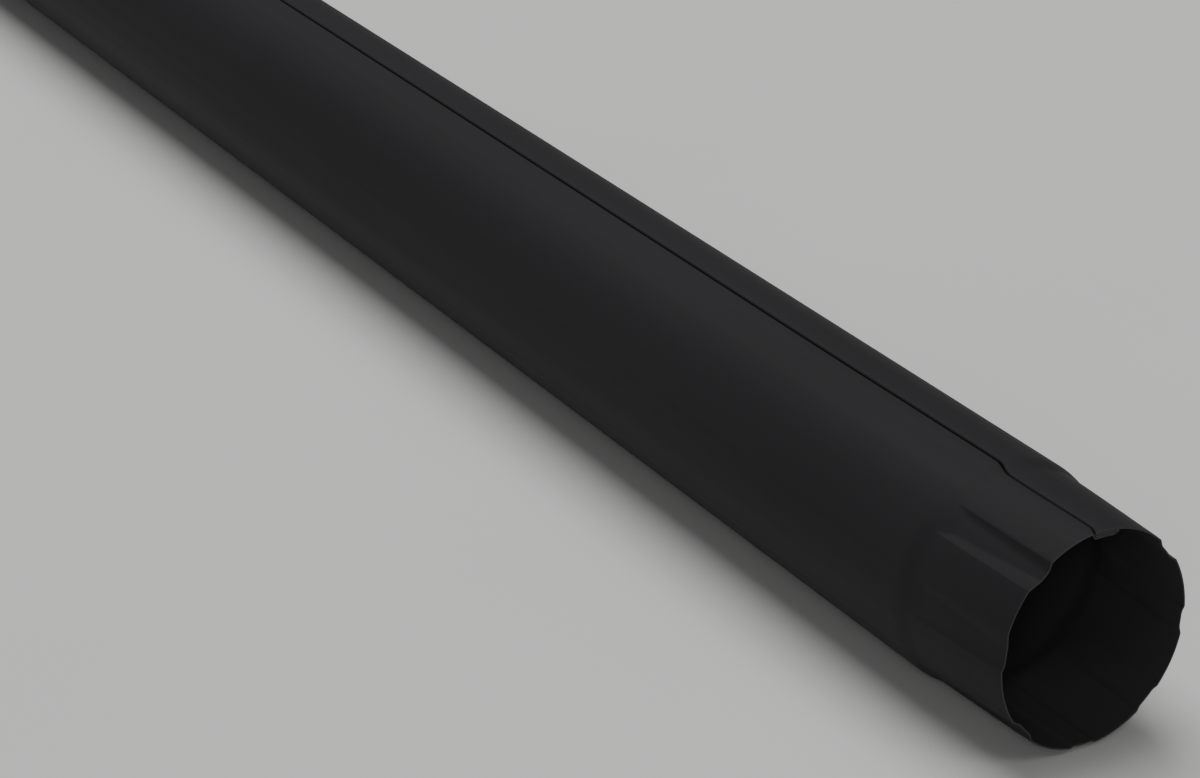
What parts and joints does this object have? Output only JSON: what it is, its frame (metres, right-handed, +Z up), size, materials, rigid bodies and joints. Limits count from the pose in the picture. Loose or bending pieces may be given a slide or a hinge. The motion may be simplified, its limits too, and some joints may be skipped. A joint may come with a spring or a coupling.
{
  "type": "downpipe",
  "caption": "Round sheet-metal downpipe with a folded lock seam along its length and one end reduced and fluted into a spigot.",
  "frame": {"origin": "on the pipe's axis, in the plane of its plain end", "axes": "+X runs along the pipe from the plain end to the spigot's rim, +Z is up as the pipe lies, with the seam on top"},
  "size_m": [1, 0.087, 0.087],
  "materials": {
    "coated_sheet": "satin"
  },
  "bodies": {
    "root": {"downpipe": "coated_sheet"}
  },
  "joints": []
}
